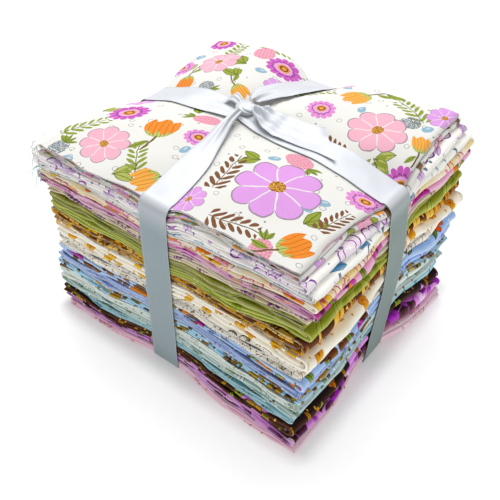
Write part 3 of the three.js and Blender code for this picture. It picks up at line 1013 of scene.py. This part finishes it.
# The top cut's print. Spots lie on the top panel as seen from above: east, north, size, degrees, tint
topPanel = (381, 210)  # its middle, on the cloth
garden = {
    "ground": "#e9e8e3",
    "cosmos": [
        (40, -34, 20, 12, 0), (-54, 42, 12, 40, 1), (50, 33, 15, 5, 1), (-48, -52, 13, 25, 1),
        (10, -62, 9, 0, 0), (-74, -6, 9, 0, 0), (6, 70, 12, 20, 1), (-14, 38, 8, 10, 0),
        (72, 62, 9, 30, 0),
    ],
    "zinnia": [
        (-22, 57, 9.5, 0, 0), (70, -10, 9, 20, 1), (-60, -24, 10, 10, 0), (18, 32, 8, 0, 1),
        (-16, -24, 7, 0, 1), (-76, 34, 8, 0, 1), (74, 14, 8, 0, 0), (-70, 66, 8, 0, 0),
    ],
    "tulip": [
        (-34, -28, 12.5, 200, 0), (27, 54, 11.5, -25, 1), (66, -58, 11, 140, 0), (-28, 22, 8, 60, 1),
        (-64, 20, 9, 10, 0), (-16, -62, 10, -40, 1), (72, 36, 8, 200, 1),
    ],
    "sprig": [
        (-68, -46, 13, 65, 0), (14, -38, 13, 100, 1), (66, 10, 12, -40, 0), (-56, 6, 11, 20, 1),
        (4, 48, 12, 30, 0), (38, -63, 12, 10, 1), (-56, 62, 12, 100, 0), (56, 58, 12, 150, 0),
        (33, 14, 10, 170, 1), (-28, -52, 11, 120, 0), (70, -34, 10, 80, 1), (-34, 70, 10, 10, 0),
    ],
    "blade": [
        (20, -22, 9, 200, 0), (62, -44, 9, 60, 0), (-36, 32, 9, 140, 0), (-30, -66, 9, 30, 1),
        (38, 68, 9, 20, 0), (-74, -28, 8, 80, 1), (-40, 4, 9, -30, 0), (-38, 44, 10, 160, 0),
        (-70, 30, 8, 100, 1), (-20, 72, 8, 60, 0), (58, 18, 8, 10, 1),
    ],
    "thistle": [
        (-8, 62, 8, 20, 0), (60, 46, 7.5, 140, 0), (-4, -44, 7.5, 60, 0), (-66, -64, 8, 0, 0),
        (-46, 18, 7, 250, 0),
    ],
    "pod": [(-38, 62, 8.5, 30, 0), (33, -9, 8, 250, 0), (-26, -8, 7, 100, 0), (56, -68, 7, 20, 0)],
    "berry": [
        (60, -28, 3.2, 30, 0), (57, -36, 2.6, 0, 0), (-14, -36, 3, 80, 0), (-56, -70, 3, 10, 0),
        (70, 48, 3.2, 60, 0), (-28, 44, 3, 20, 0), (36, 44, 2.8, 90, 0), (-44, 12, 3.2, 120, 0),
        (24, -16, 2.8, 45, 0), (16, 62, 3, 0, 0), (-4, -70, 3, 60, 0), (-72, 48, 3, 30, 0),
        (40, 4, 2.8, 70, 0),
    ],
}


def nearestOf(place, spots):
    found = nearest = None
    for east, north, size, degrees, tint in spots:
        inputs = {
            "Vector": place,
            "Location": (east, north, -tint * 0.02),
            "Rotation": (0, 0, math.radians(degrees)),
            "Scale": (size, size, 1),
        }
        local = place.node("Mapping", {"vector_type": "TEXTURE"}, inputs)
        reach = local.vector("LENGTH", output=1) * size
        if found is None:
            found, nearest = local, reach
        else:
            found = found.swapped(local, reach < nearest)
            nearest = nearest.math("MINIMUM", reach)
    tint = found.node("SeparateXYZ", {}, {0: found}, 2) > 0.01
    return found.vector("MULTIPLY", (1, 1, 0)), tint


def cosmos(colour, place):
    local, tint = nearestOf(place, garden["cosmos"])
    inside, reach, edge = petalsAt(local, 0.0, 8, 1.0, 0.075, 0.28)
    x, y = local.parts()
    ray = abs((y.math("ARCTAN2", x) * 23).math("SINE"))
    fill = local.paint("#dd9de2").mixed("#f1b3c3", tint)
    fill = fill.mixed("#c77fd4", (ray < 0.22) * (reach > 0.3) * 0.28)
    colour = colour.mixed(fill, inside)
    rim = (abs(reach - edge) < 0.022) * (reach > 0.3)
    colour = colour.mixed("#8c7a86", rim * 0.8)
    seeds = local.node("TexVoronoi", {"voronoi_dimensions": "2D"}, {"Vector": local, "Scale": 19})
    return colour.mixed(local.paint("#8a5a26").mixed("#e0a43a", seeds < 0.42), reach < 0.19)


def zinnia(colour, place):
    local, tint = nearestOf(place, garden["zinnia"])
    outer, reach, _ = petalsAt(local, 0.3, 13, 1.0, 0.03, 0.25)
    inner, _, second = petalsAt(local, 0.1, 11, 0.62, 0.02, 0.3)
    colour = colour.mixed(local.paint("#c858bb").mixed("#e08ad0", tint), outer)
    colour = colour.mixed("#8e3b86", (abs(reach - second) < 0.045) * 0.9)
    colour = colour.mixed("#e6a6dd", inner * (reach < 0.5))
    colour = colour.mixed("#e49a34", reach < 0.34)
    return colour.mixed("#7c4a20", abs(reach - 0.2) < 0.05)


def tulip(colour, place):
    local, tint = nearestOf(place, garden["tulip"])
    x, y = local.parts()
    body = ((x / 0.62) ** 2 + ((y + 0.1) / 0.8) ** 2) < 1
    lobes = y > (abs((x * 5.2).math("COSINE")) * -0.28 - 0.42)
    body = body * lobes
    stripe = abs((x * 15 + y * 1.5).math("SINE")) < 0.22
    fill = local.paint("#ee8a22").mixed("#f2ab45", tint)
    colour = colour.mixed(fill.mixed("#a95514", stripe * 0.75), body)
    cap = body * (y > (abs((x * 8).math("SINE")) * 0.34 + 0.18))
    colour = colour.mixed("#b9c46a", cap)
    colour = colour.mixed("#76812f", cap * (abs((x * 24).math("SINE")) < 0.3))
    bend = x - (y - 0.6) * (y - 0.6) * 0.22
    stalk = (abs(bend) < 0.045) * (y > 0.62) * (y < 1.75)
    colour = colour.mixed("#6e5a2a", stalk)
    blade, rib, _ = leafAt(local.vector("ADD", (-0.42, -1.25, 0)), -0.7, 0.42, 0.15)
    colour = colour.mixed("#8f9d38", blade)
    return colour.mixed("#5f6b22", blade * (rib < 0.02))


def sprigs(colour, place):
    local, tint = nearestOf(place, garden["sprig"])
    inside, side = sprigAt(local, 0.0, 1.0, 0.42, 0.11, 0.33)
    fill = local.paint("#8c9b33").mixed("#7d4f31", tint)
    return colour.mixed(fill.mixed("#5f5a24", (side < 0.035) * 0.8), inside)


def pods(colour, place):
    local, _ = nearestOf(place, garden["pod"])
    x, y = local.parts()
    body = ((x / 0.72) ** 2 + (y / 1.0) ** 2) < 1
    mesh = {"feature": "DISTANCE_TO_EDGE", "voronoi_dimensions": "2D"}
    net = local.node("TexVoronoi", mesh, {"Vector": local, "Scale": 4.6, "Randomness": 0.35})
    colour = colour.mixed(local.paint("#f0a3b6").mixed("#9c5a68", net < 0.05), body)
    for angle, length in ((-0.6, 0.62), (0.0, 0.75), (0.6, 0.62)):
        above = local.vector("ADD", (math.sin(angle) * 0.5, -1.05 - 0.25 * math.cos(angle), 0))
        blade, rib, _ = leafAt(above, math.pi / 2 - angle, length * 0.62, 0.17)
        colour = colour.mixed("#8a9a35", blade)
        colour = colour.mixed("#59651f", blade * (rib < 0.03))
    return colour


def blades(colour, place):
    local, tint = nearestOf(place, garden["blade"])
    for turn, length in ((0.5, 0.62), (-0.45, 0.52)):
        shifted = local.vector("ADD", (-0.55 * math.cos(turn), -0.55 * math.sin(turn), 0))
        blade, rib, _ = leafAt(shifted, -turn, length, 0.26)
        rim, _, _ = leafAt(shifted, -turn, length + 0.05, 0.3)
        colour = colour.mixed("#59611f", rim)
        colour = colour.mixed(local.paint("#93a234").mixed("#b3b95c", tint), blade)
        colour = colour.mixed("#59611f", blade * (rib < 0.022))
    return colour


def thistles(colour, place):
    local, _ = nearestOf(place, garden["thistle"])
    x, y = local.parts()
    head = ((x / 0.62) ** 2 + ((y + 0.25) / 0.72) ** 2) < 1
    flat = {"voronoi_dimensions": "2D"}
    beads = local.node("TexVoronoi", flat, {"Vector": local, "Scale": 6.5, "Randomness": 0.4})
    colour = colour.mixed("#8e9aa2", head * (beads < 0.42))
    colour = colour.mixed("#4e565c", head * (abs(beads - 0.42) < 0.07))
    for turn in (-1.0, -0.45, 0.1, 0.65, 1.15):
        shifted = local.vector("ADD", (math.sin(turn) * 0.4, -0.3 - 0.42 * math.cos(turn), 0))
        blade, rib, _ = leafAt(shifted, -math.pi / 2 - turn, 0.4, 0.11)
        colour = colour.mixed("#8a9a35", blade)
        colour = colour.mixed("#4f591d", blade * (rib < 0.02))
    return colour


def berries(colour, place):
    local, _ = nearestOf(place, garden["berry"])
    x, y = local.parts()
    body = ((x / 1.0) ** 2 + (y / 0.72) ** 2) < 1
    shine = (((x - 0.25) / 0.4) ** 2 + ((y - 0.2) / 0.2) ** 2) < 1
    colour = colour.mixed("#8fb2c6", body)
    return colour.mixed("#bcd2dc", body * shine)


def gardenCotton(name):
    material, shader, cloth = startMaterial("cotton_" + name, 0.03)
    # the cloth's own millimetres, turned so that the top panel reads as seen from above
    panel = cloth.vector("MULTIPLY", (1, -1, 1)).vector("ADD", (-topPanel[0], topPanel[1], 0))
    sway = panel.node("TexNoise", {}, {"Vector": panel, "Scale": 0.16, "Detail": 1.0}, 1)
    place = panel.vector("ADD", sway.vector("SUBTRACT", (0.5, 0.5, 0.5)).vector("MULTIPLY", (1.6, 1.6, 0)))
    ring, _ = scatter(place, 12.5, 4, 0.9)
    ringMask = abs(ring.vector("LENGTH", output=1) - 1.25) < 0.17
    colour = place.paint(garden["ground"]).mixed("#8f8a84", ringMask * 0.8)
    dot, dice = scatter(place, 15, 7, 0.9)
    colour = colour.mixed("#8b8178", (dot.vector("LENGTH", output=1) < 0.5) * (dice > 0.35))
    for motif in (blades, sprigs, thistles, berries, pods, tulip, zinnia, cosmos):
        colour = motif(colour, place)
    finishCotton(shader, cloth, colour, 0.0)
    return material


# Satin, with painted light and shade in its colour: paler where it faces up and near the top edge, greyer
# where it faces sideways or down, and greener where it faces east
satin = {
    # painted light and shade: tone where it faces up, shade where it faces sideways or down, side where it
    # faces east
    "tone": "#d8dbe1",
    "shade": "#8c9da3",
    "side": "#6b827c",
    "bright": (0.084, 0.104),  # heights between which painted light turns it paler, in metres
    "roughness": 0.42,
    "gloss": 0.5,
    "metal": 0.15,
    "selvage": (0.35, 0.75),
    "relief": 0.00006,
}


def satinRibbon():
    material, shader, place = startMaterial("satin_ribbon", 0.25, 0.35)
    _, y = place.parts()
    silk = place.vector("MULTIPLY", (0.12, 3.2, 1)).noise(0.5, 2)
    cloud = place.noise(9, 2)
    # painted light and shade, from which way the surface faces and how high it is
    facing = place.node("NewGeometry", {}, {}, 1).parts()[0]
    height = place.node("NewGeometry", {}, {}, 0).parts()[0].sibling(2)
    colour = place.paint(satin["shade"]).mixed(satin["side"], facing.soft(0.2, 0.9))
    lit = facing.sibling(2).soft(0.1, 0.9).math("MAXIMUM", height.soft(*satin["bright"]) * 0.7)
    colour = colour.mixed(satin["tone"], lit)
    colour = colour.mixed("#ffffff", (silk - 0.5).math("MAXIMUM", 0.0) * 0.35)
    colour = colour.mixed("#9aa3ad", (0.5 - cloud).math("MAXIMUM", 0.0) * 0.3)
    selvage = 1 - toEdge(y, ribbon["width"]).soft(*satin["selvage"])
    colour = colour.mixed("#b9c0c8", selvage * 0.5)
    plug(shader, "Base Color", colour)
    plug(shader, "Roughness", satin["roughness"] + silk * 0.16)
    relief = silk * 0.8 + selvage * 1.5
    bump = place.node("Bump", {}, {"Strength": 0.4, "Distance": satin["relief"], "Height": relief})
    plug(shader, "Normal", bump)
    shader.inputs["Anisotropic"].default_value = 0.4
    shader.inputs["Metallic"].default_value = satin["metal"]
    shader.inputs["Specular IOR Level"].default_value = satin["gloss"]
    return material


# Loose threads at the raw west corner: their ends hang from between the upper cuts
thread = {
    "count": 64,
    "radius": 0.15,
    "sides": 5,
    "steps": 12,
    "corner": (-80.5, -69.5),
    "levels": (86, 105),
    "blueBelow": 97,
    "blueShift": 100,  # along the cloth's place, where the blue threads' colour is read
    "length": (4, 10),
    "spread": 0.55,  # share of its length that a thread stands out
}


def threadPath(start, away, dice):
    length = dice.uniform(*thread["length"])
    bend, droop, curl = dice.uniform(-0.4, 0.4), dice.uniform(0.2, 1.0), dice.uniform(2, 6)
    path = []
    for t in np.linspace(0, 1, thread["steps"] + 1):
        turned = away.copy()
        turned.rotate(Euler((0, 0, bend * t)))
        reach = length * (math.sin(1.3 * t) * thread["spread"])
        wave = 0.35 * math.sin(curl * t) * t
        path.append(start + turned * (reach + wave) + Vector((0, wave, -length * droop * t * t)))
    return path, length


def looseThreads(name):
    dice = random.Random(12)
    points, faces, uv = [], [], []
    steps, sides = thread["steps"], thread["sides"]
    for k in range(thread["count"]):
        along = dice.uniform(0, 8)
        inX, inY = (along, 1) if k % 2 else (1, along)
        start = Vector((thread["corner"][0] + inX, thread["corner"][1] + inY, 0))
        start.z = dice.uniform(*thread["levels"])
        lead = dice.uniform(-0.5, 0.5)
        away = Vector((-0.5 + 0.4 * lead, -0.9, 0)) if k % 2 else Vector((-0.95, -0.3 + 0.5 * lead, 0))
        path, length = threadPath(start, away, dice)
        faces += tubeFaces(len(points), steps + 1, sides)
        blue = thread["blueShift"] * (start.z < thread["blueBelow"])
        for n, spot in enumerate(path):
            ahead = (path[min(n + 1, steps)] - path[max(n - 1, 0)]).normalized()
            side = ahead.orthogonal().normalized()
            other = ahead.cross(side)
            for j in range(sides):
                angle = 2 * math.pi * j / sides
                points.append(spot + thread["radius"] * (side * math.cos(angle) + other * math.sin(angle)))
                uv.append((n * length / steps + blue, angle))
    piece = newPiece(name, [(p + Vector(stack["shift"])) * mm for p in points], faces, uv)
    material, shader, place = startMaterial("cotton_thread", 0.05)
    u, v = place.parts()
    twist = (u * 9 + v).math("SINE")
    colour = (u / (2 * thread["blueShift"])).chosen(["#eef0ee", "#a3ccd0"])
    plug(shader, "Base Color", colour.mixed("#a9aca8", twist.math("MAXIMUM", 0.0) * 0.3))
    plug(shader, "Roughness", 0.75 + twist * 0.1)
    piece.data.materials.append(material)
    return piece


threads = looseThreads("looseThreads")
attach(threads, "root")

underPrint = {"seed": 21, "shadeAndRichness": 0.15}  # the top cut's other panels, with lighter painted shade than the lower cuts
base = stackHeight
for index, cut in enumerate(cuts):
    base -= cut[2]
    piece = foldedCut(cut[0].replace("quarter", "cut"), index, base)
    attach(piece, "root")
    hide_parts(cut[0])
    name = cut[0].split("_", 2)[2]
    "cotton_" + name
    [threads] if index == 2 else []
    if index:
        piece.data.materials.append(printedCotton(name, index))
    else:
        piece.data.materials.append(gardenCotton(name))
        piece.data.materials.append(printedCotton(name, underPrint["seed"], underPrint["shadeAndRichness"]))
        uv = np.empty(len(piece.data.loops) * 2)
        piece.data.uv_layers["cloth"].data.foreach_get("uv", uv)
        middle = uv.reshape(-1, 4, 2).mean(1) - topPanel  # every face has four corners
        under = (np.abs(middle) > (halfLength, halfWidth)).any(1)
        piece.data.polygons.foreach_set("material_index", under.astype(np.int32))
print("scene: twenty cuts folded")

satinFinish = satinRibbon()
frontToBack, lengthA = ribbonLoop(
    "ribbonFrontToBack", farHalf, nearHalf, "north", "south", axis=0, crests=(-0.05, 0.12), drop=1.3
)
sideToSide, lengthB = ribbonLoop(
    "ribbonSideToSide", eastHalf, westHalf, "east", "west", axis=1, crests=(0.1, -0.1), drop=0
)
tail, lengthTail = looseEnd("ribbonLongTail", longTail, 0.1, 90, 1.0)
curl, lengthCurl = looseEnd("ribbonShortEnd", shortEnd, 0.0, 30, 0.5)
bow = knotPiece("ribbonKnot")
for piece, node in (
    (frontToBack, "ribbon_front_to_back"),
    (sideToSide, "ribbon_side_to_side"),
    (tail, "ribbon_long_tail"),
    (curl, "ribbon_short_end"),
    (bow, "ribbon_knot"),
):
    piece.data.materials.append(satinFinish)
    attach(piece, "root")
    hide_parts(node)
for piece, length, held, extra in (
    (frontToBack, lengthA, "stretched", [bow, curl]),
    (sideToSide, lengthB, "stretched", []),
    (tail, lengthTail, "laid", []),
):
    round(length * mm, 3)
print("scene: ribbons tied", round(lengthA), round(lengthB), round(lengthTail), round(lengthCurl))

# Pale floor that glows evenly, with a painted contact shadow in its glow round the stack's foot
floorLook = {
    "half": 6,
    "base": (0.6, 0.6, 0.6, 1),
    "glow": 0.58,
    "shadow": (0.42, 0.42, 0.42, 1),
    "foot": (0.077, 0.069, 0),  # half length and half width of the stack's foot, in metres
    "fade": 0.013,
}
floorMesh = bpy.data.meshes.new("floor")
corners = [(x * floorLook["half"], y * floorLook["half"], 0) for x, y in ((-1, -1), (1, -1), (1, 1), (-1, 1))]
floorMesh.from_pydata(corners, [], [(0, 1, 2, 3)])
floor = bpy.data.objects.new("floor", floorMesh)
bpy.context.scene.collection.objects.link(floor)
floorMaterial = bpy.data.materials.new("floor")
floorMaterial.use_nodes = True
floorShader = floorMaterial.node_tree.nodes["Principled BSDF"]
floorShader.inputs["Base Color"].default_value = floorLook["base"]
floorShader.inputs["Roughness"].default_value = 0.9
spot = Wire(floorShader.outputs[0]).node("TexCoord", {}, {}, "Object")
away = spot.vector("ABSOLUTE").vector("SUBTRACT", floorLook["foot"])
away = away.vector("MAXIMUM", (0, 0, 0)).vector("LENGTH", output=1)
# painted contact shadow: the glow turns grey near the foot
shades = {0: away.soft(0, floorLook["fade"]), 6: floorLook["shadow"], 7: "#ffffff"}
plug(floorShader, "Emission Color", away.node("Mix", {"data_type": "RGBA"}, shades, 2))
floorShader.inputs["Emission Strength"].default_value = floorLook["glow"]
floor.data.materials.append(floorMaterial)

studio = {"world": 0.55, "keySize": 0.85, "keyPower": 9.2, "keyPlace": (-0.3, 0.34, 0.96)}
world = bpy.data.worlds.new("studio")
world.use_nodes = True
world.node_tree.nodes["Background"].inputs["Color"].default_value = (1, 1, 1, 1)
world.node_tree.nodes["Background"].inputs["Strength"].default_value = studio["world"]
bpy.context.scene.world = world
keyLight = bpy.data.lights.new("key", "AREA")
keyLight.size = studio["keySize"]
keyLight.energy = studio["keyPower"]
key = bpy.data.objects.new("key", keyLight)
key.location = studio["keyPlace"]
key.rotation_mode = "QUATERNION"
key.rotation_quaternion = (-key.location).to_track_quat("-Z", "Y")
bpy.context.scene.collection.objects.link(key)
bpy.context.scene.view_settings.view_transform = "Standard"
print("scene: floor and light set")
